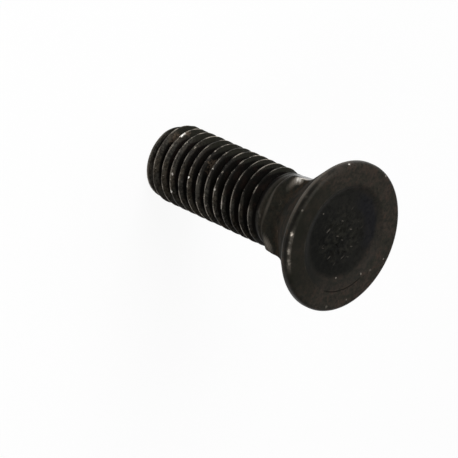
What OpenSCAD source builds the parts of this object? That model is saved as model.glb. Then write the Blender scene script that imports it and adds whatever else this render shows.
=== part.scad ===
// Plow bolt, half inch coarse thread, round countersunk head on a square neck.
// It stands on its threaded end, with the head up. Millimetres.

/* [Overall] */
// length from the threaded end to the top of the head
overall_length = 38.1; // [36:0.1:60]

/* [Head] */
// diameter of the head's rim
head_diameter = 23.8; // [22:0.1:27]
// height of the rim's upright side
rim_height = 1.45; // [1:0.05:2.5]
// rounding of the rim's top edge
rim_round = 0.7; // [0.2:0.05:0.9]
// included angle of the countersunk underside
countersink_angle = 80; // [76:1:92]
// diameter of the ring where the face begins to sink
dish_diameter = 17; // [15:0.1:19]
// diameter of the sunk floor in the middle of the face
floor_diameter = 14.3; // [12:0.1:14.8]
// depth of the sunk floor below the rim's face
dish_depth = 0.5; // [0.2:0.05:1]
// how far the sunk floor lies off centre, as a forging die leaves it
floor_offset = 0.3; // [0:0.05:0.6]

/* [Neck] */
// width of the square neck across its flats
neck_width = 12.2; // [11.8:0.1:12.7]
// depth from the top of the head to the end of the square
neck_depth = 11.4; // [10.5:0.1:13]
// corner to corner size of the square at its thread end
neck_corner_end = 13.2; // [12.9:0.1:15]
// corner to corner size of the square where it enters the cone
neck_corner_full = 16.9; // [15.5:0.1:17.2]
// length of the slope from the square down to the round shank
neck_shoulder = 0.5; // [0.4:0.1:1.4]

/* [Shank] */
// diameter of the short plain shank above the thread
shank_diameter = 12; // [11.6:0.05:12.4]
// length of the plain shank, its shoulder left out
shank_length = 1; // [0.6:0.1:3]

/* [Thread] */
// diameter over the thread's crests
thread_diameter = 12.65; // [12.4:0.05:12.7]
// distance from one crest to the next
thread_pitch = 1.9538; // [1.75:0.0001:2.1]
// height of the first crest on the x axis, above the threaded end
thread_start = 0.35; // [0:0.01:1.7]
// number of turns over which the thread fades out under the neck
runout_turns = 1; // [0.5:0.05:1.5]
// diameter of the flat threaded end
tip_diameter = 11.8; // [10.4:0.1:12.2]
// length of the sloped lead at the threaded end
tip_lead = 1.5; // [0.8:0.1:2.4]

/* [Hidden] */
$fn = 96;

steel = [0.13, 0.125, 0.12];
grow = 0.2;

head_r = head_diameter / 2;
dish_r = dish_diameter / 2;
floor_r = floor_diameter / 2;
shank_r = shank_diameter / 2;
crest_r = thread_diameter / 2;
tip_r = tip_diameter / 2;
half_angle = countersink_angle / 2;
neck_half = neck_width / 2;

// heights of the main planes above the threaded end
rim_base = overall_length - rim_height;
neck_base = overall_length - neck_depth;
shoulder_base = neck_base - neck_shoulder;
thread_top = shoulder_base - shank_length;
cone_base = rim_base - (head_r - shank_r) / tan(half_angle);

// thread form: sixty degree flanks, flat crest, narrow flat root
crest_share = 0.125;
depth_share = 0.6134;
flank_angle = 30;
thread_depth = thread_pitch * depth_share;
crest_half = thread_pitch * crest_share / 2;
root_half = thread_pitch / 2 - crest_half - thread_depth * tan(flank_angle);
root_r = crest_r - thread_depth;
fade_gap = 0.02;
fade_r = shank_r - fade_gap;
turn_steps = 36;
turns_below = 2;
turns_above = 1.5;
rod_low = thread_start - turns_below * thread_pitch;
rod_turns = (thread_top - rod_low) / thread_pitch + turns_above;
rod_steps = ceil(rod_turns * turn_steps);
step_rise = thread_pitch / turn_steps;
step_angle = 360 / turn_steps;

// share of the fade at a crest's height: none on the full thread, all at the thread's top
function fade(z) = max(0, min(1, 1 - (thread_top - z) / (runout_turns * thread_pitch)));
function eased(f) = f * f * (3 - 2 * f);
function faded(r, z) = r + (fade_r - r) * eased(fade(z));

// one row of the thread's section: both edges of the crest, both edges of the root after it
function thread_row(i) = let (
    z = rod_low + i * step_rise,
    a = i * step_angle,
    c = faded(crest_r, z),
    r = faded(root_r, z),
    mid = z + thread_pitch / 2
) [
    [c * cos(a), c * sin(a), z - crest_half],
    [c * cos(a), c * sin(a), z + crest_half],
    [r * cos(a), r * sin(a), mid - root_half],
    [r * cos(a), r * sin(a), mid + root_half]
];

row_size = 4;
rod_rows = rod_steps + 1;
low_centre = rod_rows * row_size;
high_centre = low_centre + 1;
rod_points = concat(
    [for (i = [0 : rod_steps]) each thread_row(i)],
    [[0, 0, rod_low + thread_pitch / 2],
     [0, 0, rod_low + rod_steps * step_rise - thread_pitch / 2]]
);

// the fourth strip of a row ends on the first edge one turn later
function edge(i, k) = k < row_size ? i * row_size + k : (i + turn_steps) * row_size;
function strip(i, k) = [
    [edge(i, k), edge(i, k + 1), edge(i + 1, k + 1)],
    [edge(i, k), edge(i + 1, k + 1), edge(i + 1, k)]
];
last_open = rod_steps - turn_steps;
rod_sides = [
    for (i = [0 : rod_steps - 1], k = [0 : row_size - 1])
        if (k < row_size - 1 || i < last_open) each strip(i, k)
];
rod_low_cap = concat(
    [for (i = [0 : turn_steps - 1]) [low_centre, edge(i, 0), edge(i + 1, 0)]],
    [for (k = [0 : row_size - 1]) [low_centre, edge(0, k + 1), edge(0, k)]]
);
rod_high_cap = concat(
    [for (i = [last_open : rod_steps - 1])
        [high_centre, edge(i + 1, row_size - 1), edge(i, row_size - 1)]],
    [for (k = [0 : row_size - 2]) [high_centre, edge(rod_steps, k), edge(rod_steps, k + 1)]],
    [[high_centre, edge(last_open, row_size - 1), edge(rod_steps, 0)]]
);

module threaded_rod() {
    polyhedron(points = rod_points, faces = concat(rod_sides, rod_low_cap, rod_high_cap),
               convexity = row_size);
}

// the lead and the flat end are cut from the rod by a sleeve around them
module end_cut() {
    wide = crest_r + grow;
    rise = tip_lead * (wide - tip_r) / (crest_r - tip_r);
    deep = turns_below * thread_pitch + thread_pitch;
    rotate_extrude()
        polygon([
            [0, 0], [tip_r, 0], [wide, rise], [wide + grow, rise],
            [wide + grow, -deep], [0, -deep]
        ]);
}

// half section of what is round above the thread
module round_section() {
    polygon([
        [0, thread_top],
        [shank_r, thread_top],
        [shank_r, cone_base],
        [head_r, rim_base],
        [head_r, overall_length - rim_round],
        [head_r - rim_round, overall_length - rim_round],
        [head_r - rim_round, overall_length],
        [0, overall_length]
    ]);
    translate([head_r - rim_round, overall_length - rim_round])
        circle(r = rim_round);
}

module square_neck() {
    full_base = cone_base + (neck_corner_full / 2 - shank_r) / tan(half_angle);
    neck_top = (full_base + rim_base) / 2;
    slope = (neck_corner_full - neck_corner_end) / 2 / (full_base - neck_base);
    intersection() {
        translate([-neck_half, -neck_half, shoulder_base])
            cube([neck_width, neck_width, neck_top - shoulder_base]);
        union() {
            translate([0, 0, shoulder_base])
                cylinder(h = neck_shoulder, r1 = shank_r, r2 = neck_corner_end / 2);
            translate([0, 0, neck_base])
                cylinder(h = neck_top - neck_base, r1 = neck_corner_end / 2,
                         r2 = neck_corner_end / 2 + (neck_top - neck_base) * slope);
        }
    }
}

module bolt() {
    color(steel) {
        difference() {
            union() {
                rotate_extrude() round_section();
                square_neck();
                difference() {
                    threaded_rod();
                    end_cut();
                }
            }
            translate([-floor_offset, 0, overall_length - dish_depth])
                cylinder(h = dish_depth + grow, r1 = floor_r,
                         r2 = floor_r + (dish_r - floor_r) * (dish_depth + grow) / dish_depth);
        }
    }
}

bolt();
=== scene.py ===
"""A black plow bolt in a soft studio: its worn forged head, its rolled thread and its finish."""

import logging
import math
from dataclasses import dataclass
from enum import Enum
from typing import Iterable, Sequence, Union

import bpy
from mathutils import Matrix, Quaternion, Vector, noise


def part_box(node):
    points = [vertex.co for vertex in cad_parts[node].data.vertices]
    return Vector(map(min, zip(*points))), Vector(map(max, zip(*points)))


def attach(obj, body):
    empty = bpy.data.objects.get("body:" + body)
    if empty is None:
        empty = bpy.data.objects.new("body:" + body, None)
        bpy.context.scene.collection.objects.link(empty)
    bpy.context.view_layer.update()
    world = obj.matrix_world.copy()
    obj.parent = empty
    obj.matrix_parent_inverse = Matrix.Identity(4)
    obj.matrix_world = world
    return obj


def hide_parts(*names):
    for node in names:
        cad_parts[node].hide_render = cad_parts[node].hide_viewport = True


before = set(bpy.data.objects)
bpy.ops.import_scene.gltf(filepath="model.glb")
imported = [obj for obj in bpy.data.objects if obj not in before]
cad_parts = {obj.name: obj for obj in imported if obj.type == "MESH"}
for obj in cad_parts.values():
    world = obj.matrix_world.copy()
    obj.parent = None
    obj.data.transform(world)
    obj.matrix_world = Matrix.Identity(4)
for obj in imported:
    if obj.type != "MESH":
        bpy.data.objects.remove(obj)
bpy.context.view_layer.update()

log = logging.getLogger("plow_bolt")

Socket = bpy.types.NodeSocket
Value = Union[Socket, float]
Colour = tuple[float, float, float, float]
Point = tuple[float, float]

MM = 0.001
WELD = 0.000001
NODE = "bolt"
BODY = "root"


class Side(Enum):
    """Which side of a cutting plane is kept."""

    ABOVE = "above"
    BELOW = "below"


def smooth_step(low: float, high: float, value: float) -> float:
    """Eased share from 0 at low to 1 at high."""
    share = min(1.0, max(0.0, (value - low) / (high - low)))
    return share * share * (3 - 2 * share)


def soft_max(a: float, b: float, blend: float) -> float:
    """The larger of two lengths, rounded over where they cross."""
    gap = max(blend - abs(a - b), 0.0) / blend
    return max(a, b) + gap * gap * blend / 4


def soft_min(a: float, b: float, blend: float) -> float:
    """The smaller of two lengths, rounded over where they cross."""
    return -soft_max(-a, -b, blend)


def arc(r: float, z: float, radius: float, start: float, end: float, steps: int) -> list[Point]:
    """Points along an arc of a half section, both ends included.

    Args:
        r: The centre's distance from the axis.
        z: The centre's height.
        radius: The arc's radius.
        start: Angle of the first point, in degrees above level.
        end: Angle of the last point.
        steps: Number of steps between the two.

    Returns:
        Pairs of radius and height.
    """
    angles = [math.radians(start + (end - start) * i / steps) for i in range(steps + 1)]
    return [(r + radius * math.cos(a), z + radius * math.sin(a)) for a in angles]


def widen(co: Vector, share: float) -> None:
    """Scales a point's distance from the axis."""
    co.x *= share
    co.y *= share


def direction(azimuth: float, elevation: float) -> Vector:
    """Unit vector out from the bolt, from degrees about the axis and degrees above the floor."""
    a, e = math.radians(azimuth), math.radians(elevation)
    return Vector((math.cos(e) * math.cos(a), math.cos(e) * math.sin(a), math.sin(e)))


@dataclass(frozen=True)
class BoltSizes:
    """Sizes of the bolt in metres, with heights counted from the threaded end.

    The overall length and the head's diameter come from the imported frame.
    """

    length: float
    head_r: float
    rim_height: float = 1.45 * MM
    rim_round: float = 0.7 * MM
    half_angle: float = math.radians(40)
    ring_r: float = 8.5 * MM
    floor_r: float = 7.15 * MM
    dish_depth: float = 0.5 * MM
    floor_offset: float = 0.45 * MM
    neck_half: float = 6.1 * MM
    neck_depth: float = 11.4 * MM
    corner_end: float = 6.6 * MM
    corner_full: float = 8.45 * MM
    shoulder: float = 0.5 * MM
    shank_r: float = 6.0 * MM
    shank_length: float = 1.0 * MM
    crest_r: float = 6.325 * MM
    pitch: float = 1.9538 * MM
    depth_share: float = 0.6134
    thread_start: float = 0.35 * MM
    runout_turns: float = 1.0
    tip_r: float = 5.9 * MM
    tip_lead: float = 1.5 * MM

    @property
    def rim_base(self) -> float:
        """Height of the rim's lower edge."""
        return self.length - self.rim_height

    @property
    def neck_base(self) -> float:
        """Height where the square ends."""
        return self.length - self.neck_depth

    @property
    def thread_top(self) -> float:
        """Height where the thread has faded into the plain shank."""
        return self.neck_base - self.shoulder - self.shank_length

    @property
    def thread_depth(self) -> float:
        """Depth of the thread from its crests to its roots."""
        return self.pitch * self.depth_share

    def cone_r(self, z: float) -> float:
        """Radius of the countersink's cone at a height."""
        return self.head_r - (self.rim_base - z) * math.tan(self.half_angle)


def only(target: bpy.types.Object) -> None:
    """Selects one object alone and makes it the active one.

    Args:
        target: The object.
    """
    if bpy.context.object and bpy.context.object.mode != "OBJECT":
        bpy.ops.object.mode_set(mode="OBJECT")
    bpy.ops.object.select_all(action="DESELECT")
    target.select_set(True)
    bpy.context.view_layer.objects.active = target


def start_chain(name: str, points: Sequence[Vector]) -> bpy.types.Object:
    """Draws an open chain of edges, one extrusion after another, as by hand.

    Args:
        name: The new object's name.
        points: The chain's corners in order.

    Returns:
        The object, in object mode.
    """
    bpy.ops.object.select_all(action="DESELECT")
    bpy.ops.mesh.primitive_plane_add(size=MM)
    chain = bpy.context.object
    chain.name = name
    bpy.ops.object.mode_set(mode="EDIT")
    bpy.ops.mesh.select_all(action="SELECT")
    bpy.ops.mesh.merge(type="CENTER")
    bpy.ops.transform.translate(value=points[0])
    for before, after in zip(points, points[1:]):
        bpy.ops.mesh.extrude_region_move(TRANSFORM_OT_translate={"value": after - before})
    bpy.ops.object.mode_set(mode="OBJECT")
    return chain


def apply_modifier(target: bpy.types.Object, kind: str, name: str, **settings: object) -> None:
    """Adds one modifier, sets it and applies it.

    Args:
        target: The object to change.
        kind: Blender's modifier type, such as SCREW.
        name: The modifier's name.
        settings: The modifier's properties.
    """
    modifier = target.modifiers.new(name, kind)
    for key, value in settings.items():
        setattr(modifier, key, value)
    only(target)
    bpy.ops.object.modifier_apply(modifier=modifier.name)


def sweep(target: bpy.types.Object, steps: int, pitch: float = 0.0, turns: int = 1) -> None:
    """Sweeps a half section round the axis.

    Args:
        target: The object that holds the section.
        steps: Steps to a turn.
        pitch: Climb of each turn.
        turns: Number of turns.
    """
    apply_modifier(
        target, "SCREW", "sweep",
        axis="Z", angle=2 * math.pi, screw_offset=pitch, iterations=turns,
        steps=steps, render_steps=steps, use_merge_vertices=True, merge_threshold=WELD,
    )


def clean(target: bpy.types.Object, merge: float = WELD) -> None:
    """Merges doubled points, drops loose bits and turns all faces outward.

    Args:
        target: The object to clean.
        merge: Distance under which two points become one.
    """
    only(target)
    bpy.ops.object.mode_set(mode="EDIT")
    bpy.ops.mesh.select_all(action="SELECT")
    bpy.ops.mesh.remove_doubles(threshold=merge)
    bpy.ops.mesh.dissolve_degenerate(threshold=merge)
    bpy.ops.mesh.select_all(action="SELECT")
    bpy.ops.mesh.normals_make_consistent(inside=False)
    bpy.ops.object.mode_set(mode="OBJECT")


def cut(target: bpy.types.Object, height: float, kept: Side) -> None:
    """Cuts a mesh on a level plane, drops one side and closes the cut.

    Args:
        target: The object to cut.
        height: The plane's height.
        kept: The side that stays.
    """
    only(target)
    bpy.ops.object.mode_set(mode="EDIT")
    bpy.ops.mesh.select_all(action="SELECT")
    bpy.ops.mesh.bisect(
        plane_co=(0, 0, height),
        plane_no=(0, 0, 1),
        use_fill=True,
        clear_inner=kept is Side.ABOVE,
        clear_outer=kept is Side.BELOW,
        threshold=WELD / 10,
    )
    bpy.ops.object.mode_set(mode="OBJECT")


@dataclass
class RolledThread:
    """The threaded rod: a true right-hand helix that fades out under the neck."""

    sizes: BoltSizes
    steps: int = 144
    arc_steps: int = 3
    spare_turns: int = 2
    crest_flat: float = 0.12 * MM
    crest_round: float = 0.07 * MM
    root_round: float = 0.2 * MM
    flank_angle: float = 30.0
    inset: float = 0.02 * MM
    wave: float = 0.065 * MM
    wave_length: float = 1.6 * MM
    wave_reach_share: float = 0.7
    end_clear: float = 0.065 * MM

    def section(self) -> list[Vector]:
        """Half section of one pitch, from the middle of a root to the next one.

        Returns:
            The section's points, in the plane of X and Z.
        """
        s = self.sizes
        turn = 90.0 - self.flank_angle
        root = arc(s.crest_r - s.thread_depth + self.root_round, -s.pitch / 2, self.root_round,
                   180.0, 180.0 - turn, self.arc_steps)
        crest = arc(s.crest_r - self.crest_round, -self.crest_flat / 2, self.crest_round,
                    -turn, 0.0, self.arc_steps)
        (low_r, low_z), (high_r, high_z) = root[-1], crest[0]
        flank = [(low_r + (high_r - low_r) * share, low_z + (high_z - low_z) * share)
                 for share in (1 / 3, 2 / 3)]
        points = root + flank + crest
        mirrored = [(r, -z) for r, z in reversed(points)]
        return [Vector((r, 0, z)) for r, z in points + mirrored]

    def build(self) -> bpy.types.Object:
        """Turns the section up the helix, fades it out, and closes both ends.

        Returns:
            A closed rod from the flat end up into the shank.
        """
        s = self.sizes
        start = s.thread_start - self.spare_turns * s.pitch
        turns = math.ceil((s.thread_top - start) / s.pitch) + self.spare_turns
        rod = start_chain("threaded_rod", self.section())
        only(rod)
        bpy.ops.object.mode_set(mode="EDIT")
        bpy.ops.mesh.select_all(action="SELECT")
        bpy.ops.transform.translate(value=(0, 0, start))
        bpy.ops.object.mode_set(mode="OBJECT")
        sweep(rod, self.steps, s.pitch, turns)
        self._fade(rod)
        cut(rod, 0.0, Side.ABOVE)
        cut(rod, s.neck_base + s.pitch / 2, Side.BELOW)
        self._lead(rod)
        self._wear(rod)
        clean(rod)
        return rod

    def _fade(self, rod: bpy.types.Object) -> None:
        """Draws crest and root together over the run-out.

        Args:
            rod: The swept helix.
        """
        s = self.sizes
        top_r = s.shank_r - self.inset
        low = s.thread_top - s.runout_turns * s.pitch
        for v in rod.data.vertices:
            share = smooth_step(low, s.thread_top, v.co.z)
            if share > 0:
                r = math.hypot(v.co.x, v.co.y)
                widen(v.co, (r + (top_r - r) * share) / r)

    def _lead(self, rod: bpy.types.Object) -> None:
        """Presses the first turn into the sloped lead.

        Args:
            rod: The rod, cut flat at its end.
        """
        s = self.sizes
        for v in rod.data.vertices:
            limit = s.tip_r + (s.crest_r - s.tip_r) * v.co.z / s.tip_lead
            r = math.hypot(v.co.x, v.co.y)
            if r > limit:
                widen(v.co, limit / r)

    def _wear(self, rod: bpy.types.Object) -> None:
        """Knocks the crests a little out of true, as handling does.

        Args:
            rod: The rod, with its lead.
        """
        s = self.sizes
        reach = self.wave_reach_share * s.thread_depth
        for v in rod.data.vertices:
            r = math.hypot(v.co.x, v.co.y)
            near_crest = smooth_step(s.crest_r - reach, s.crest_r, r)
            if near_crest > 0 and v.co.z > self.end_clear:
                dent = max(0.0, noise.noise(v.co / self.wave_length)) * self.wave * 2
                widen(v.co, 1 - dent * near_crest / r)


@dataclass
class ForgedHead:
    """The head, the square neck and the plain shank, as one forging."""

    sizes: BoltSizes
    segments: int = 288
    row: float = 0.16 * MM
    face_rows: int = 70
    margin: float = 0.08 * MM
    core_shares: tuple[float, ...] = (0.0, 0.5, 0.97)
    skin_share: float = 0.98
    floor_edge_share: float = 0.95
    corner_blend: float = 0.5 * MM
    cone_blend: float = 0.9 * MM
    shank_blend: float = 0.25 * MM
    lower_round: float = 0.3 * MM
    lower_rise_share: float = 0.6
    lower_start: float = -50.0
    lower_steps: int = 4
    upper_steps: int = 9
    dish_blend: float = 0.16 * MM
    bulge: float = 0.2 * MM
    bulge_height: float = 2.4 * MM
    dip: float = 0.22 * MM
    dip_height: float = 3.9 * MM
    hump_width: float = 0.9 * MM

    def section(self) -> list[Vector]:
        """Half section of the round blank, from inside the thread up to the face's middle.

        Returns:
            The section's points, in the plane of X and Z.
        """
        s = self.sizes
        low = s.thread_top
        points = [(s.shank_r * share, low) for share in self.core_shares]
        count = math.ceil((s.rim_base - low) / self.row)
        for i in range(count):
            z = low + (s.rim_base - low) * i / count
            points.append((max(s.cone_r(z), s.shank_r), z))
        points += arc(
            s.head_r - self.lower_round, s.rim_base + self.lower_round * self.lower_rise_share,
            self.lower_round, self.lower_start, 0.0, self.lower_steps,
        )
        points += arc(s.head_r - s.rim_round, s.length - s.rim_round, s.rim_round,
                      0.0, 90.0, self.upper_steps)
        points += self._face()
        return [Vector((r, 0, z)) for r, z in points]

    def _face(self) -> list[Point]:
        """The flat outer ring, the slope and the sunk floor.

        Returns:
            Pairs of radius and height, from the rim inwards.
        """
        s = self.sizes
        found = []
        outer = s.head_r - s.rim_round
        for i in range(1, self.face_rows + 1):
            r = outer * (1 - i / self.face_rows)
            slope = s.dish_depth * (s.ring_r - r) / (s.ring_r - s.floor_r)
            sink = soft_max(0.0, soft_min(slope, s.dish_depth, self.dish_blend), self.dish_blend)
            found.append((r, s.length - sink))
        return found

    def build(self) -> bpy.types.Object:
        """Spins the blank, then forges the square neck and the off-centre floor.

        Returns:
            The closed head and neck.
        """
        head = start_chain("forged_head", self.section())
        sweep(head, self.segments)
        for v in head.data.vertices:
            self._forge(v.co)
        clean(head, 2 * WELD)
        return head

    def _forge(self, co: Vector) -> None:
        """Moves one point of the blank to where the dies press it.

        Args:
            co: The point, which is changed in place.
        """
        s = self.sizes
        r = math.hypot(co.x, co.y)
        on_neck = s.thread_top + self.margin < co.z < s.rim_base - self.margin
        if on_neck and r > s.shank_r * self.skin_share:
            widen(co, self.neck_radius(math.atan2(co.y, co.x), co.z) / r)
        elif co.z > s.rim_base + s.rim_height / 2 and r < s.ring_r:
            co.x -= s.floor_offset * (1 - smooth_step(s.floor_r * self.floor_edge_share, s.ring_r, r))

    def neck_radius(self, angle: float, z: float) -> float:
        """Distance from the axis to the neck's surface.

        Args:
            angle: Angle about the axis, in radians.
            z: Height above the threaded end.

        Returns:
            The radius in metres.
        """
        s = self.sizes
        turned = (angle + math.pi / 4) % (math.pi / 2) - math.pi / 4
        flat = s.neck_half / math.cos(turned)
        up = z - s.neck_base
        if up < 0:
            share = smooth_step(s.neck_base - s.shoulder, s.neck_base, z)
            corner = s.shank_r + (s.corner_end - s.shank_r) * share
        else:
            climb = up / (s.length - s.corner_full - s.neck_base)
            corner = s.corner_end + (s.corner_full - s.corner_end) * climb
            corner += self.bulge * self._hump(up - self.bulge_height)
            corner -= self.dip * self._hump(up - self.dip_height)
        body = soft_min(flat, corner, self.corner_blend)
        if up < 0:
            body = soft_max(body, s.shank_r, self.shank_blend)
        return soft_max(body, s.cone_r(z), self.cone_blend)

    def _hump(self, away: float) -> float:
        """Bell-shaped share, 1 where away is 0."""
        return math.exp(-((away / self.hump_width) ** 2))


class Noise(Enum):
    """The finish's noises: bumps per metre, detail and roughness."""

    MOTTLE = (420.0, 5.0, 0.62)
    GRAIN = (2300.0, 4.0, 0.65)
    STREAK = (520.0, 3.0, 0.6)
    RAGGED = (1500.0, 4.0, 0.7)
    FRAYED = (3200.0, 3.0, 0.7)
    STAIN = (640.0, 5.0, 0.7)
    CLOUD = (520.0, 6.0, 0.8)
    SPECK = (1150.0, 3.0, 0.6)
    RINGS = (1.0, 2.0, 0.55)


class Facing(Enum):
    """Directions about the axis, in degrees, that parts of the finish face; most of them set where
    painted light and shade fall.
    """

    THREAD_SHADE = 234.0
    # Side of the thread with painted light: a lighter colour, brighter crests and less black in the
    # roots.
    THREAD_FAR = 190.0
    NECK_LIGHT = 235.0
    NECK_EDGE = 185.0
    # Side of the rim's wall with the most painted shade.
    WALL_SOOT = 272.0
    # Middle of the painted highlight on the rim's front edge.
    RIM_RUB = 291.0
    RIM_LIGHT = 220.0
    RING_SHADE = 285.0
    # Side of the ring's edge with a painted highlight.
    RING_LINE = 258.0
    CRACK = 25.0
    FLOOR_BLUE = 130.0
    FLOOR_BLACK = 315.0


class NodeBoard:
    """The node tree of a material or a world, with short calls to add and join nodes."""

    def __init__(self, owner: Union[bpy.types.Material, bpy.types.World]) -> None:
        """Empties the owner's node tree.

        Args:
            owner: The material or the world to dress.
        """
        owner.use_nodes = True
        self.owner = owner
        self.tree = owner.node_tree
        self.tree.nodes.clear()

    def add(self, kind: str, *, inputs: dict[object, object] | None = None,
            **settings: object) -> bpy.types.Node:
        """Adds a node.

        Args:
            kind: The node's type without the ShaderNode prefix.
            inputs: Values or output sockets by input name or number.
            settings: The node's own properties.

        Returns:
            The node.
        """
        node = self.tree.nodes.new("ShaderNode" + kind)
        for key, value in settings.items():
            setattr(node, key, value)
        for key, value in (inputs or {}).items():
            if isinstance(value, Socket):
                self.tree.links.new(value, node.inputs[key])
            else:
                node.inputs[key].default_value = value
        return node

    def maths(self, operation: str, *values: Value) -> Socket:
        """Adds a Math node over one to three values."""
        node = self.add("Math", operation=operation, inputs=dict(enumerate(values)))
        return node.outputs[0]

    def _fold(self, operation: str, values: Sequence[Value]) -> Value:
        """Joins several values, one after another, by the same operation.

        Args:
            operation: Blender's name of the operation.
            values: The values, one at least.

        Returns:
            What they come to.
        """
        result = values[0]
        for value in values[1:]:
            result = self.maths(operation, result, value)
        return result

    def times(self, *shares: Value) -> Value:
        """Product of several shares."""
        return self._fold("MULTIPLY", shares)

    def most(self, *shares: Value) -> Value:
        """Largest of several shares."""
        return self._fold("MAXIMUM", shares)

    def sum(self, *parts: Value) -> Value:
        """Sum of several values."""
        return self._fold("ADD", parts)

    def length(self, a: Value, b: Value) -> Socket:
        """Length of the level vector (a, b)."""
        return self.maths("SQRT", self.sum(self.times(a, a), self.times(b, b)))

    def step(self, value: Value, low: float, high: float) -> Socket:
        """Eases from 0 to 1 as a value goes from low to high, or from 1 to 0 if low is the larger.

        Args:
            value: The value.
            low: Where the share is 0.
            high: Where the share is 1.

        Returns:
            The share.
        """
        flip = low > high
        node = self.add("MapRange", interpolation_type="SMOOTHSTEP", inputs={
            "Value": value, "From Min": min(low, high), "From Max": max(low, high),
            "To Min": 1.0 if flip else 0.0, "To Max": 0.0 if flip else 1.0,
        })
        return node.outputs["Result"]

    def band(self, value: Value, low: float, high: float, soft: float) -> Socket:
        """1 between low and high, fading out over soft on either side."""
        return self.times(self.step(value, low - soft, low), self.step(value, high + soft, high))

    def between(self, share: Value, a: Value, b: Value) -> Socket:
        """Mixes two numbers."""
        node = self.add("MapRange", inputs={
            "Value": share, "From Min": 0.0, "From Max": 1.0, "To Min": a, "To Max": b})
        return node.outputs["Result"]

    def blend(self, share: Value, a: Union[Socket, Colour], b: Union[Socket, Colour]) -> Socket:
        """Mixes two colours."""
        return self.add("Mix", data_type="RGBA", inputs={0: share, 6: a, 7: b}).outputs[2]

    def noise(self, where: Socket, kind: Noise) -> Socket:
        """Adds one of the noises over a set of coordinates."""
        scale, detail, rough = kind.value
        return self.add("TexNoise", inputs={
            "Vector": where, "Scale": scale, "Detail": detail, "Roughness": rough,
        }).outputs["Fac"]

    def in_sight(self) -> Value:
        """1 for rays that the camera sees straight, mirrored or through glass."""
        path = self.add("LightPath").outputs
        return self.most(*(path[f"Is {kind} Ray"] for kind in ("Camera", "Glossy", "Transmission")))


class BoltBoard(NodeBoard):
    """A material's board over the bolt's own coordinates, with the noises that its parts share."""

    def __init__(self, name: str, flatten: float) -> None:
        """Adds the coordinates and the shared noises.

        Args:
            name: The material's name.
            flatten: How far drawn-out patterns are squeezed along the axis.
        """
        super().__init__(bpy.data.materials.new(name))
        self.where = self.add("TexCoord").outputs["Object"]
        self.x, self.y, self.z = self.add("SeparateXYZ", inputs={0: self.where}).outputs
        self.radius = self.length(self.x, self.y)
        self.flat = self.add("VectorMath", operation="MULTIPLY", inputs={
            0: self.where, 1: (1, 1, flatten)}).outputs["Vector"]
        self.mottle = self.noise(self.where, Noise.MOTTLE)
        self.grain = self.noise(self.where, Noise.GRAIN)
        self.streak = self.noise(self.flat, Noise.STREAK)

    def along(self, angle: float) -> Value:
        """Distance from the axis along a level direction in degrees."""
        a = math.radians(angle)
        return self.sum(self.times(self.x, math.cos(a)), self.times(self.y, math.sin(a)))

    def facing(self, side: Facing, low: float, high: float) -> Socket:
        """Eases from 0 to 1 as the cosine of the angle from a direction goes from low to high."""
        cosine = self.maths("DIVIDE", self.along(side.value), self.radius)
        return self.step(cosine, low, high)

    def away(self, place: Sequence[float], where: Socket) -> Socket:
        """Distance from a place, in the given coordinates."""
        return self.add("VectorMath", operation="DISTANCE",
                        inputs={0: where, 1: place}).outputs["Value"]


@dataclass(frozen=True)
class Spot:
    """A marked place on the bolt: a nick worn bright, a patch of rust, or a painted highlight.

    Args:
        angle: Degrees about the axis.
        height: Millimetres above the threaded end.
        radius: Millimetres from the axis.
        size: How far it reaches, in millimetres.
        wear: Share of the mark in its middle, be it wear, rust or painted highlight.
    """

    angle: float
    height: float
    radius: float
    size: float
    wear: float

    def place(self, flatten: float) -> tuple[float, float, float]:
        """The spot's centre in metres, with its height stretched as the pattern's is."""
        a = math.radians(self.angle)
        return (self.radius * math.cos(a) * MM, self.radius * math.sin(a) * MM,
                self.height * flatten * MM)


@dataclass(frozen=True)
class Chips:
    """Sparse, ragged chips of the face, each drawn out a little along one direction.

    Args:
        angle: That direction, in degrees about the axis.
        along: Chips per metre along it.
        across: Chips per metre across it.
        share: Share of the places that have a chip.
    """

    angle: float
    along: float
    across: float
    share: float


def corner_glint(first: float, last: float, wear: float, count: int = 8) -> tuple[Spot, ...]:
    """Spots in a row that slants up one corner of the neck: a painted highlight with some wear,
    strongest in the middle.

    Args:
        first: Angle of the lowest spot, in degrees about the axis.
        last: Angle of the highest spot.
        wear: Share of painted highlight and wear at the middle spots.
        count: Number of spots.

    Returns:
        The spots.
    """
    foot, climb = 28.0, 2.6
    foot_r, flare = 7.5, 0.95
    size = 0.95
    shares = [i / (count - 1) for i in range(count)]
    return tuple(
        Spot(first + (last - first) * t, foot + climb * t, foot_r + flare * t, size,
             wear * math.sin(math.pi * (0.1 + 0.75 * t)))
        for t in shares
    )


# Nicks worn to bare metal on the crests, the face and the rim; the strongest take the painted glare
# colour.
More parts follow.
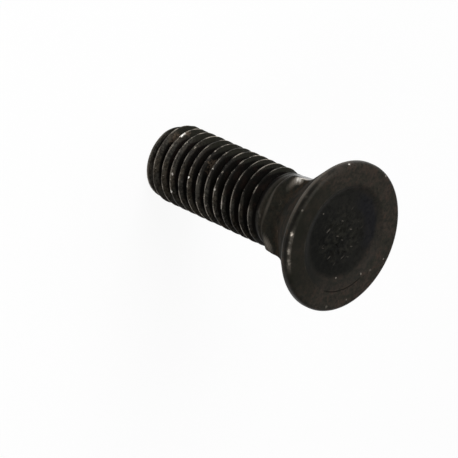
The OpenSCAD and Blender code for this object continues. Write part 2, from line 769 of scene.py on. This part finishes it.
NICKS = (
    Spot(225.3, 3.4, 6.2, 0.5, 0.9),
    Spot(222.4, 3.42, 6.25, 0.7, 1.0),
    Spot(219.4, 3.44, 6.25, 0.5, 1.0),
    Spot(230.0, 2.2, 6.1, 0.2, 0.5),
    Spot(213.0, 2.3, 6.1, 0.2, 0.4),
    Spot(296.0, 8.3, 6.2, 0.28, 0.6),
    Spot(300.0, 12.2, 6.2, 0.28, 0.5),
    Spot(308.0, 13.9, 6.2, 0.22, 0.5),
    Spot(286.0, 2.2, 6.2, 0.18, 0.5),
    Spot(270.0, 5.0, 6.2, 0.25, 0.6),
    Spot(232.7, 7.63, 6.25, 0.27, 0.25),
    Spot(229.4, 8.09, 6.1, 0.21, 0.4),
    Spot(277.2, 9.69, 6.25, 0.29, 1.0),
    Spot(291.3, 4.27, 6.25, 0.34, 1.0),
    Spot(310.6, 5.92, 6.25, 0.42, 1.0),
    Spot(282.9, 6.07, 6.2, 0.30, 0.7),
    Spot(250.4, 15.52, 6.25, 0.26, 0.3),
    Spot(277.5, 15.58, 6.25, 0.28, 0.7),
    Spot(291.2, 17.46, 6.25, 0.55, 0.6),
    Spot(298.0, 17.35, 6.25, 0.58, 0.8),
    Spot(251.7, 13.49, 6.2, 0.24, 0.7),
    Spot(303.3, 21.21, 6.25, 0.32, 0.9),
    Spot(310.7, 10.1, 6.25, 0.22, 0.35),
    Spot(222.6, 11.02, 6.25, 0.19, 0.6),
    Spot(217.4, 15.13, 6.25, 0.19, 0.5),
    Spot(206.2, 17.07, 6.25, 0.22, 0.5),
    Spot(202.8, 20.87, 6.25, 0.22, 0.5),
    Spot(256.5, 1.62, 6.1, 0.26, 0.4),
    Spot(159.1, 38.05, 11.5, 0.22, 0.6),
    Spot(81.3, 38.05, 10.6, 0.20, 0.5),
    Spot(65.7, 38.05, 9.2, 0.30, 0.12),
    Spot(31.3, 38.05, 10.6, 0.21, 0.3),
    Spot(8.5, 38.05, 11.0, 0.30, 0.15),
    Spot(55.0, 38.0, 8.2, 0.22, 0.3),
    Spot(17.2, 37.6, 6.6, 0.19, 0.45),
    Spot(246.5, 37.6, 6.6, 0.17, 0.25),
    Spot(203.0, 37.7, 11.75, 0.29, 0.8),
    Spot(258.3, 38.0, 11.7, 0.26, 0.2),
)
RUST = (
    Spot(226.0, 2.6, 6.0, 1.4, 0.8),
    Spot(214.0, 3.4, 6.0, 0.9, 0.7),
    Spot(252.0, 12.7, 5.9, 1.2, 0.8),
    Spot(242.0, 12.3, 5.9, 1.0, 0.8),
    Spot(265.0, 13.05, 5.9, 1.0, 0.7),
)
# Painted highlights on the neck: the blown-out reflection on its upper corner and flat, a faint sheen
# on the ridge at the thread's end, a few faint spots, and painted glints with some wear up three
# corners.
NECK_SHINE = (
    Spot(206.0, 30.0, 6.8, 1.2, 0.5),
    Spot(212.0, 30.1, 7.2, 1.4, 0.9),
    Spot(217.5, 30.2, 7.7, 1.5, 1.0),
    Spot(222.0, 30.5, 8.3, 1.3, 1.0),
    Spot(225.5, 30.5, 8.5, 1.3, 1.0),
    Spot(225.5, 31.0, 8.6, 1.2, 0.9),
    Spot(225.5, 31.4, 8.6, 0.9, 0.5),
    Spot(228.0, 30.2, 8.2, 1.2, 0.5),
    Spot(230.5, 29.9, 7.95, 1.2, 0.25),
    Spot(233.0, 29.6, 7.6, 1.1, 0.14),
    Spot(236.0, 29.3, 7.4, 1.0, 0.07),
    Spot(280.0, 25.3, 6.05, 0.7, 0.09),
    Spot(286.0, 25.7, 6.05, 0.7, 0.09),
    Spot(291.5, 30.66, 6.97, 0.3, 0.09),
    *corner_glint(305.5, 314.5, 0.32),
    *corner_glint(46.0, 43.5, 0.12),
    *corner_glint(133.5, 136.0, 0.14),
)
# Painted highlights along the rim's front rounding.
RIM_SHINE = (
    Spot(277.5, 37.88, 11.7, 0.5, 1.0),
    Spot(284.0, 37.9, 11.66, 0.4, 0.15),
    Spot(290.3, 37.9, 11.68, 0.55, 0.5),
    Spot(292.2, 37.9, 11.68, 0.4, 0.4),
    Spot(298.2, 37.95, 11.58, 0.5, 0.35),
    Spot(300.5, 37.95, 11.54, 0.4, 0.4),
)
PITS = (Chips(62.0, 470.0, 1750.0, 0.15), Chips(17.0, 900.0, 1700.0, 0.14))
RUBS = (Chips(148.0, 520.0, 1900.0, 0.17), Chips(95.0, 800.0, 2000.0, 0.13))


@dataclass(frozen=True)
class BlackOxide:
    """Black oxide over forged steel: black in the roots, partly painted shade, brown on the face, worn
    on edges, with painted light and highlights over it.
    """

    sizes: BoltSizes
    black: Colour = (0.0012, 0.0011, 0.0009, 1)
    # Near-black: sooty stains on the neck, and painted shade on the thread's unlit flanks and the
    # ring's shaded side; also a darker band at the neck's foot.
    soot_and_shade: Colour = (0.0026, 0.0025, 0.0021, 1)
    tint: Colour = (0.0050, 0.0028, 0.0021, 1)
    # Lit colour of the thread's flanks: painted light.
    steel: Colour = (0.0475, 0.0444, 0.0375, 1)
    olive: Colour = (0.0155, 0.0152, 0.0115, 1)
    umber: Colour = (0.0300, 0.0215, 0.0145, 1)
    ash: Colour = (0.0245, 0.0235, 0.0192, 1)
    brown: Colour = (0.0385, 0.0310, 0.0255, 1)
    russet: Colour = (0.0470, 0.0315, 0.0250, 1)
    slate: Colour = (0.0120, 0.0120, 0.0110, 1)
    pitch_black: Colour = (0.0072, 0.0074, 0.0070, 1)
    blue: Colour = (0.0115, 0.0118, 0.0142, 1)
    bare: Colour = (0.46, 0.41, 0.35, 1)
    # Painted glare: brighter than bare steel, for the neck's blown-out highlight and the cores of the
    # nicks.
    bright: Colour = (0.90, 0.87, 0.82, 1)
    rust: Colour = (0.0850, 0.0640, 0.0460, 1)
    # Second lit colour of the thread's flanks: painted light.
    lit_bronze: Colour = (0.0488, 0.0413, 0.0313, 1)
    warmth: Colour = (1.0, 0.93, 0.84, 1)
    gloss: float = 0.065
    grain_flat: float = 1.7
    ring_lines: float = 1400.0
    bump_depth: float = 0.06 * MM
    bump_strength: float = 0.55

    def material(self) -> bpy.types.Material:
        """Builds the node tree over the bolt's own coordinates.

        Returns:
            The material.
        """
        s = self.sizes
        b = BoltBoard("black_oxide", self.grain_flat)
        thread, thread_wear_and_glint, gap = self._thread(b)
        neck, neck_sheen_and_dent = self._neck(b)
        face, face_wear_and_glint, on_face, relief = self._face(b)
        ragged = b.noise(b.where, Noise.RAGGED)
        nicks = self._spots(b, NICKS, b.noise(b.where, Noise.FRAYED), 0.8, 0.5)
        rusty = self._spots(b, RUST, ragged, 1.6, 0.6)
        shine = self._spots(b, NECK_SHINE, ragged, 0.35, 0.0)
        rim_shine = self._spots(b, RIM_SHINE, b.grain, 0.9, 0.1)

        on_thread = b.step(b.z, s.neck_base - 0.6 * MM, s.thread_top - 0.4 * MM)
        colour = b.blend(on_thread, neck, thread)
        colour = b.blend(on_face, colour, face)
        colour = b.blend(b.times(rusty, b.between(gap, 1.0, 0.6)), colour, self.rust)
        # Painted shade on the rim's wall.
        colour = b.blend(self._wall_shade(b), colour, self.black)
        # Painted glare: the shine spots and the cores of the nicks go brighter than bare steel.
        metal = b.blend(b.step(b.most(shine, nicks), 0.4, 0.9), self.bare, self.bright)
        # Metallic share: wear on the crests, nicks and face, with painted highlights on the crests,
        # the neck, the rim and the ring's edge.
        worn = b.most(thread_wear_and_glint, neck_sheen_and_dent, self._rim(b), face_wear_and_glint, nicks, shine, rim_shine)
        colour = b.blend(worn, colour, metal)

        height = b.sum(b.times(b.mottle, 0.6), b.times(b.grain, 0.4), b.times(relief, 3.5))
        bump = b.add("Bump", inputs={
            "Strength": self.bump_strength, "Distance": self.bump_depth, "Height": height})
        shader = b.add("BsdfPrincipled", inputs={
            "Base Color": colour,
            "Metallic": worn,
            "Roughness": self._roughness(b, gap, rusty),
            "Specular IOR Level": self.gloss,
            "Specular Tint": self.warmth,
            "Normal": bump.outputs[0],
        })
        b.add("OutputMaterial", inputs={"Surface": shader.outputs[0]})
        return b.owner

    def _roughness(self, b: BoltBoard, gap: Value, rusty: Value) -> Socket:
        """Oily on the head, dull in the roots, on rust and under the head.

        Args:
            b: The node board.
            gap: Share of black in the thread's roots.
            rusty: Share of rust.

        Returns:
            The roughness.
        """
        s = self.sizes
        rough = b.between(b.grain, 0.28, 0.50)
        rough = b.between(gap, rough, 0.75)
        rough = b.between(rusty, rough, 0.85)
        under = b.band(b.z, s.thread_top + 0.4 * MM, s.rim_base - 0.5 * MM, 0.5 * MM)
        glancing = b.facing(Facing.NECK_EDGE, 0.75, 0.95)
        return b.between(under, rough, b.between(glancing, 0.85, 0.2))

    def _thread(self, b: BoltBoard) -> tuple[Value, Value, Value]:
        """Painted light on the flanks of the lit and far sides, roots black from oxide and painted
        shade, and crests worn to a thin broken line with painted highlights.

        Args:
            b: The node board.

        Returns:
            The thread's colour, its wear with the painted crest highlights, and the share of black in
            its roots, part of it painted shade.
        """
        s = self.sizes
        zone = b.step(b.z, s.thread_top + 0.1 * MM, s.thread_top - 0.3 * MM)
        lead = b.maths("MULTIPLY_ADD", b.z, (s.crest_r - s.tip_r) / s.tip_lead, s.tip_r)
        below = b.maths("SUBTRACT", b.maths("MINIMUM", lead, s.crest_r), b.radius)
        # Painted light and shade: shaded on one side and towards the neck, lit on the near side,
        # lighter on the far side.
        shaded = b.times(b.facing(Facing.THREAD_SHADE, 0.60, 0.96),
                         b.between(b.step(b.z, 5 * MM, 13 * MM), 0.55, 1.0))
        near = b.times(b.between(shaded, 1.0, 0.0),
                       b.between(b.step(b.z, 22 * MM, 11 * MM), 0.5, 1.0))
        far = b.facing(Facing.THREAD_FAR, 0.75, 0.97)

        # Black in the roots: their depth frayed by a streak, with painted shade added on the shaded
        # side towards the neck and taken off on the lit and far sides and near the tip.
        deep = b.maths("MULTIPLY_ADD", b.streak, 0.2, b.maths("DIVIDE", below, s.thread_depth))
        deep = b.sum(deep, b.between(near, 0.1, -0.04), b.times(far, -0.28),
                     b.times(shaded, b.step(b.z, 13 * MM, 20 * MM), 0.2),
                     b.times(b.step(b.z, 9 * MM, 1 * MM), -0.2))
        gap = b.times(zone, b.step(deep, 0.32, 0.62))
        speckle = b.between(b.step(b.grain, 0.40, 0.62), 0.35, 1.45)
        # Painted light on the flanks: near-black where shaded, the lit colours on the near side, and
        # lighter olive on the far side.
        lit = b.times(b.between(near, 0.05, 1.0), speckle,
                      b.between(b.step(b.z, 13 * MM, 3 * MM), 0.9, 1.05))
        metal = b.blend(b.step(b.mottle, 0.44, 0.58), self.steel, self.lit_bronze)
        colour = b.blend(b.times(far, 0.9), b.blend(lit, self.soot_and_shade, metal), self.olive)
        dark = b.blend(b.step(b.streak, 0.5, 0.66), self.black, self.tint)
        colour = b.blend(gap, colour, dark)

        # Crests worn to a broken line, painted brighter as a highlight on the near and far sides.
        crest = b.times(zone, b.step(below, 0.06 * MM, 0.01 * MM))
        broken = b.between(b.step(b.streak, 0.40, 0.60), 0.03, 0.30)
        line = b.times(broken, b.sum(b.between(near, 0.75, 1.1), b.times(far, 1.3)))
        fine = b.between(b.step(b.grain, 0.57, 0.68), 0.0, 0.75)
        tip = b.times(b.step(b.z, s.tip_lead, 0.7 * s.tip_lead),
                      b.step(below, 0.3 * MM, 0.1 * MM), 0.09)
        return colour, b.most(b.times(crest, b.sum(line, fine)), tip), gap

    def _neck(self, b: BoltBoard) -> tuple[Value, Value]:
        """A stained neck, with a painted sheen on its two ridges and a sheen round one small dent.

        Args:
            b: The node board.

        Returns:
            The neck's colour, and its painted sheen with the faint ring round the dent.
        """
        s = self.sizes
        stain = b.noise(b.where, Noise.STAIN)
        brown = b.times(b.step(stain, 0.44, 0.56),
                        b.between(b.step(b.z, 28.5 * MM, 31 * MM), 0.35, 1.0))
        colour = b.blend(brown, self.olive, self.umber)
        colour = b.blend(b.times(b.step(b.mottle, 0.54, 0.40), 0.5), colour, self.soot_and_shade)
        colour = b.blend(b.times(b.step(b.grain, 0.60, 0.36), 0.35), colour, self.soot_and_shade)
        foot = b.band(b.z, s.thread_top - 0.6 * MM, s.thread_top, 0.25 * MM)
        colour = b.blend(b.times(foot, 0.3), colour, self.soot_and_shade)

        # Painted sheen along the square's edge and the ridge, strongest on the lit side.
        edge = b.band(b.z, s.neck_base, s.neck_base + 0.1 * MM, 0.4 * MM)
        ridge = b.band(b.z, s.thread_top + 0.2 * MM, s.thread_top + 0.4 * MM, 0.35 * MM)
        lines = b.times(b.most(b.times(edge, 0.07), b.times(ridge, 0.02)),
                        b.between(b.facing(Facing.NECK_LIGHT, 0.5, 1.0), 0.5, 1.3),
                        b.between(b.streak, 0.6, 1.4))
        middle = (-1.45 * MM, -s.neck_half, 28.65 * MM)
        dent = b.times(b.band(b.away(middle, b.where), 0.36 * MM, 0.42 * MM, 0.1 * MM),
                       b.between(b.mottle, 0.0, 0.06), b.step(b.z, 28.5 * MM, 28.9 * MM))
        return colour, b.most(lines, dent)

    def _on_wall(self, b: BoltBoard) -> Socket:
        """1 on the rim's upright wall, 0 on what lies inside it."""
        head_r = self.sizes.head_r
        return b.step(b.radius, head_r - 0.5 * MM, head_r - 0.2 * MM)

    def _wall_shade(self, b: BoltBoard) -> Value:
        """Painted shade in the middle of the rim's wall, most of it on one side.

        Args:
            b: The node board.

        Returns:
            The share of painted shade.
        """
        s = self.sizes
        return b.times(
            b.band(b.z, s.rim_base + 0.68 * MM, s.length - 0.45 * MM, 0.4 * MM),
            self._on_wall(b),
            b.between(b.facing(Facing.WALL_SOOT, 0.72, 0.96), 0.25, 1.0),
            b.between(b.step(b.mottle, 0.38, 0.64), 0.8, 0.2),
        )

    def _rim(self, b: BoltBoard) -> Value:
        """A soft painted highlight along the rim's lower edge, and a painted highlight along a stretch
        of its front edge.

        Args:
            b: The node board.

        Returns:
            The rim's painted highlights, with faint wear on its wall.
        """
        s = self.sizes
        # Painted highlight along a stretch of the front rounding.
        front = b.times(
            b.band(b.radius, s.head_r - 0.42 * MM, s.head_r - 0.2 * MM, 0.25 * MM),
            b.step(b.z, s.length - 1.0 * MM, s.length - 0.5 * MM),
            b.facing(Facing.RIM_RUB, 0.93, 0.99),
            b.between(b.step(b.mottle, 0.42, 0.6), 0.4, 1.0),
            b.between(b.grain, 0.0, 0.26),
        )
        # Painted highlight along the lower edge, strongest on the lit side.
        lower = b.times(
            b.band(b.z, s.rim_base + 0.08 * MM, s.rim_base + 0.2 * MM, 0.55 * MM),
            b.between(b.facing(Facing.RIM_LIGHT, 0.5, 1.0), 0.03, 0.17),
            b.between(b.mottle, 0.5, 1.5),
        )
        wall = b.times(
            b.band(b.z, s.rim_base + 0.5 * MM, s.length - 0.5 * MM, 0.2 * MM),
            self._on_wall(b), b.step(b.mottle, 0.5, 0.7), 0.05,
        )
        return b.most(front, lower, wall)

    def _face(self, b: BoltBoard) -> tuple[Value, Value, Value, Value]:
        """The brown outer ring, the dark sunk floor, the marks on both, and a painted highlight along
        one side of the ring's edge.

        Args:
            b: The node board.

        Returns:
            The face's colour, its wear with the ring's painted highlight, the share of face, and the
            relief of its marks.
        """
        s = self.sizes
        on_face = b.step(b.z, s.length - 0.95 * MM, s.length - 0.7 * MM)
        cloud = b.noise(b.where, Noise.CLOUD)
        speck = b.noise(b.where, Noise.SPECK)
        middle = b.length(b.sum(b.x, 0.64 * MM), b.sum(b.y, 0.2 * MM))
        sunk = b.step(b.maths("MULTIPLY_ADD", cloud, 1.0 * MM, middle),
                      s.floor_r + 1.0 * MM, s.floor_r - 0.1 * MM)
        colour = b.blend(b.times(sunk, 0.93), self._ring(b, cloud, speck), self._floor(b, speck))

        # Painted highlight along one side of the ring's edge.
        line = b.times(
            b.band(b.radius, s.ring_r - 0.05 * MM, s.ring_r + 0.02 * MM, 0.1 * MM),
            b.facing(Facing.RING_LINE, 0.3, 0.85),
            b.between(b.step(b.mottle, 0.4, 0.62), 0.004, 0.05),
        )
        # A thin dark arc just outside the ring's edge on one side.
        dark_arc = b.times(
            b.band(b.maths("MULTIPLY_ADD", b.mottle, 0.25 * MM, b.radius),
                   s.ring_r + 0.2 * MM, s.ring_r + 0.28 * MM, 0.1 * MM),
            b.facing(Facing.CRACK, 0.86, 0.93),
            b.between(b.grain, 0.5, 1.3),
        )
        colour = b.blend(b.times(dark_arc, 0.8), colour, self.black)

        scuffed = b.step(b.length(b.sum(b.x, 0.1 * MM), b.sum(b.y, 0.6 * MM)), 5.4 * MM, 2.6 * MM)
        pits = b.times(scuffed, b.most(*(self._chips(b, kind) for kind in PITS)))
        rubs = b.times(scuffed, b.most(*(self._chips(b, kind) for kind in RUBS)))
        colour = b.blend(b.times(scuffed, b.step(b.mottle, 0.46, 0.60), 0.35), colour, self.olive)
        colour = b.blend(b.times(scuffed, b.step(speck, 0.50, 0.66), 0.4), colour, self.ash)
        colour = b.blend(b.times(scuffed, b.step(speck, 0.50, 0.36), 0.45), colour, self.black)
        colour = b.blend(b.times(pits, 0.6), colour, self.black)
        worn = b.times(on_face, b.most(line, b.times(rubs, b.between(b.grain, 0.02, 0.3))))
        relief = b.sum(b.times(rubs, 0.4), b.times(pits, -0.8), b.times(scuffed, speck, 1.1))
        return colour, worn, on_face, relief

    def _ring(self, b: BoltBoard, cloud: Socket, speck: Socket) -> Socket:
        """The flat outer ring: mottled brown, duller on the side in shade, slate on the slope.

        Args:
            b: The node board.
            cloud: Broad noise.
            speck: Fine noise.

        Returns:
            The ring's colour.
        """
        s = self.sizes
        turned = b.add("CombineXYZ", inputs={0: b.times(b.radius, self.ring_lines)}).outputs[0]
        rings = b.noise(turned, Noise.RINGS)
        shade = b.facing(Facing.RING_SHADE, 0.25, 0.95)
        dull = b.between(b.step(b.mottle, 0.60, 0.36), 0.6, 1.0)
        slope = b.step(b.radius, s.ring_r + 0.1 * MM, s.ring_r - 0.3 * MM)
        colour = b.blend(b.step(cloud, 0.40, 0.60), self.ash, self.brown)
        for share, coat in (
            (b.times(b.step(speck, 0.50, 0.68), 0.55), self.russet),
            (b.times(b.step(speck, 0.50, 0.32), 0.45), self.olive),
            (b.times(b.step(b.mottle, 0.50, 0.36), 0.4), self.ash),
            (b.times(b.step(rings, 0.46, 0.3), 0.25), self.olive),
            (b.times(b.between(shade, 0.1, 1.0), dull), self.olive),
            (b.times(shade, 0.2), self.soot_and_shade),
            (b.times(b.step(b.grain, 0.54, 0.36), 0.45), self.slate),
            (b.times(slope, b.between(shade, 0.4, 0.8)), self.slate),
        ):
            colour = b.blend(share, colour, coat)
        return colour

    def _floor(self, b: BoltBoard, speck: Socket) -> Socket:
        """The sunk floor: slate, bluish towards one side and black towards the other.

        Args:
            b: The node board.
            speck: Fine noise.

        Returns:
            The floor's colour.
        """
        blued = b.times(b.facing(Facing.FLOOR_BLUE, 0.55, 0.92),
                        b.step(b.radius, 4.4 * MM, 5.6 * MM))
        colour = self.slate
        for share, coat in (
            (b.times(blued, 0.8), self.blue),
            (b.times(b.facing(Facing.FLOOR_BLACK, 0.0, 0.8), 0.75), self.pitch_black),
            (b.times(b.step(speck, 0.50, 0.66), 0.2), self.ash),
            (b.times(b.step(b.grain, 0.5, 0.34), 0.4), self.black),
        ):
            colour = b.blend(share, colour, coat)
        return colour

    @staticmethod
    def _chips(b: BoltBoard, kind: Chips) -> Value:
        """One kind of chips, all over the face.

        Args:
            b: The node board.
            kind: The kind.

        Returns:
            The share of chip.
        """
        place = b.add("CombineXYZ", inputs={
            0: b.times(b.along(kind.angle), kind.along),
            1: b.times(b.along(kind.angle + 90.0), kind.across),
            2: kind.angle,
        })
        cells = b.add("TexVoronoi", inputs={"Vector": place.outputs[0], "Scale": 1.0})
        frayed = b.maths("MULTIPLY_ADD", b.grain, 0.35, cells.outputs["Distance"])
        pick = b.add("SeparateXYZ", inputs={0: cells.outputs["Color"]}).outputs[0]
        return b.times(b.step(frayed, 0.48, 0.34), b.step(pick, kind.share + 0.04, kind.share))

    def _spots(self, b: BoltBoard, spots: Sequence[Spot], ragged: Socket, spread: float,
               core: float) -> Value:
        """Share of the nearest spot's mark, with a ragged edge: wear, rust or painted highlight.

        Args:
            b: The node board.
            spots: The spots.
            ragged: Noise that frays their edges.
            spread: How far it frays them, as a share of a spot's size.
            core: Share of a spot's size that is worn in full.

        Returns:
            The share of the mark.
        """
        shares = []
        loose = b.times(b.maths("SUBTRACT", ragged, 0.5), 2 * spread)
        for spot in spots:
            gap = b.away(spot.place(self.grain_flat), b.flat)
            edge = b.maths("MULTIPLY_ADD", loose, spot.size * MM, gap)
            share = b.step(edge, spot.size * MM, spot.size * core * MM)
            shares.append(b.times(share, spot.wear))
        return b.most(*shares)


@dataclass
class PlowBolt:
    """The whole bolt: one forging with its thread rolled on."""

    sizes: BoltSizes
    name: str = "plow_bolt"
    smooth_angle: float = math.radians(40)

    def build(self) -> bpy.types.Object:
        """Builds both ends, joins them into one closed mesh and dresses it.

        Returns:
            The finished piece, declared to the frame.
        """
        rod = RolledThread(self.sizes).build()
        log.info("thread: %d faces", len(rod.data.polygons))
        head = ForgedHead(self.sizes).build()
        log.info("head and neck: %d faces", len(head.data.polygons))
        apply_modifier(head, "BOOLEAN", "one_piece", object=rod, operation="UNION", solver="EXACT")
        bpy.data.objects.remove(rod, do_unlink=True)
        head.name = self.name
        clean(head)
        only(head)
        bpy.ops.object.shade_smooth_by_angle(angle=self.smooth_angle)
        head.data.materials.clear()
        head.data.materials.append(BlackOxide(self.sizes).material())
        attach(head, BODY)
        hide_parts(NODE)
        return head


class LampRole(Enum):
    """What a studio lamp is for."""

    KEY = "key"
    TOP = "top"
    FILL = "fill"


@dataclass(frozen=True)
class Lamp:
    """A square soft lamp, placed by its direction from the bolt.

    Args:
        role: What it is for.
        azimuth: Degrees counter-clockwise from +X.
        elevation: Degrees above the floor.
        distance: Metres from the bolt.
        size: Metres along each side.
        power: Watts.
    """

    role: LampRole
    azimuth: float
    elevation: float
    distance: float
    size: float
    power: float

    def build(self, centre: Vector) -> None:
        """Adds the lamp, facing the bolt.

        Args:
            centre: The bolt's middle.
        """
        light = bpy.data.lights.new(self.role.value, "AREA")
        light.shape = "SQUARE"
        light.size = self.size
        light.energy = self.power
        lamp = bpy.data.objects.new(self.role.value, light)
        bpy.context.scene.collection.objects.link(lamp)
        away = direction(self.azimuth, self.elevation)
        lamp.location = centre + away * self.distance
        lamp.rotation_mode = "QUATERNION"
        lamp.rotation_quaternion = (-away).to_track_quat("-Z", "Y")


@dataclass(frozen=True)
class PhotoCamera:
    """The camera that keeps the photo's view of the bolt. Angles are in degrees, lengths in metres."""

    target: tuple[float, float, float] = (0.005929, -0.002072, 0.017517)
    azimuth: float = 263.0
    elevation: float = 41.042
    roll: float = -114.957
    distance: float = 0.5555
    pixel_focal: float = 3600.0
    photo_width: float = 458.0
    sensor: float = 36.0
    clip_start: float = 0.01
    clip_end: float = 20.0

    def build(self) -> None:
        """Places the camera, rolled so that the bolt lies as it does in the photo."""
        back = direction(self.azimuth, self.elevation)
        level_up = (Vector((0, 0, 1)) - back * back.z).normalized()
        up = Quaternion(-back, math.radians(self.roll)) @ level_up
        right = up.cross(back)
        data = bpy.data.cameras.new("photo_camera")
        data.sensor_width = self.sensor
        data.lens = self.sensor * self.pixel_focal / self.photo_width
        data.clip_start = self.clip_start
        data.clip_end = self.clip_end
        camera = bpy.data.objects.new("photo_camera", data)
        bpy.context.scene.collection.objects.link(camera)
        turn = Matrix((right, up, back)).transposed().to_4x4()
        place = Vector(self.target) + back * self.distance
        camera.matrix_world = Matrix.Translation(place) @ turn
        bpy.context.scene.camera = camera


@dataclass
class Studio:
    """White floor, grey ceiling, white world and soft lamps."""

    size: float = 16.0
    white: Colour = (1, 1, 1, 1)
    paper: Colour = (0.9, 0.9, 0.9, 1)
    grey: Colour = (0.3, 0.3, 0.3, 1)
    floor_white: float = 0.93
    ceiling_height: float = 0.95
    ambient: float = 0.45
    lamps: tuple[Lamp, ...] = (
        Lamp(LampRole.KEY, 207.0, 44.0, 0.55, 0.3, 2.3),
        Lamp(LampRole.TOP, 175.0, 72.0, 0.75, 0.4, 2.0),
        Lamp(LampRole.FILL, 300.0, 42.0, 0.6, 0.3, 0.9),
    )
    centre: tuple[float, float, float] = (0.0, 0.0, 0.02)

    def build(self) -> None:
        """Adds floor, ceiling, world and lamps."""
        self._floor()
        self._ceiling()
        self._world()
        for lamp in self.lamps:
            lamp.build(Vector(self.centre))

    def _sheet(self, name: str, height: float, paint: bpy.types.Material) -> None:
        """Adds one level sheet of the studio.

        Args:
            name: The sheet's name.
            height: Its height above the floor.
            paint: Its material.
        """
        bpy.ops.object.select_all(action="DESELECT")
        bpy.ops.mesh.primitive_plane_add(size=self.size, location=(0, 0, height))
        sheet = bpy.context.object
        sheet.name = name
        sheet.data.materials.append(paint)

    def _floor(self) -> None:
        """A wide white floor that the bolt stands on, with a light shadow."""
        b = NodeBoard(bpy.data.materials.new("studio_white"))
        paper = b.add("BsdfDiffuse", inputs={"Color": self.paper}).outputs[0]
        white = b.add("Emission", inputs={"Color": self.white, "Strength": 1.0}).outputs[0]
        share = b.times(b.in_sight(), self.floor_white)
        mix = b.add("MixShader", inputs={0: share, 1: paper, 2: white})
        b.add("OutputMaterial", inputs={"Surface": mix.outputs[0]})
        self._sheet("studio_floor", 0.0, b.owner)

    def _ceiling(self) -> None:
        """A dark grey ceiling, which keeps the face from mirroring white."""
        b = NodeBoard(bpy.data.materials.new("studio_grey"))
        paint = b.add("BsdfDiffuse", inputs={"Color": self.grey})
        b.add("OutputMaterial", inputs={"Surface": paint.outputs[0]})
        self._sheet("studio_ceiling", self.ceiling_height, b.owner)

    def _world(self) -> None:
        """White to the camera and in reflections, a plain level of light to the rest."""
        bpy.context.scene.world = bpy.data.worlds.new("studio_world")
        b = NodeBoard(bpy.context.scene.world)
        plain, white = (
            b.add("Background", inputs={"Color": self.white, "Strength": level}).outputs[0]
            for level in (self.ambient, 1.0)
        )
        mix = b.add("MixShader", inputs={0: b.in_sight(), 1: plain, 2: white})
        b.add("OutputWorld", inputs={"Surface": mix.outputs[0]})


def main() -> None:
    """Builds the bolt, then the studio round it."""
    logging.basicConfig(level=logging.INFO, format="%(message)s")
    low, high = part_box(NODE)
    sizes = BoltSizes(length=high[2] - low[2], head_r=(high[0] - low[0]) / 2)
    bolt = PlowBolt(sizes).build()
    log.info("%s: %d faces", bolt.name, len(bolt.data.polygons))
    Studio().build()
    PhotoCamera().build()
    bpy.context.scene.view_settings.view_transform = "Standard"


if __name__ == "__main__":
    main()
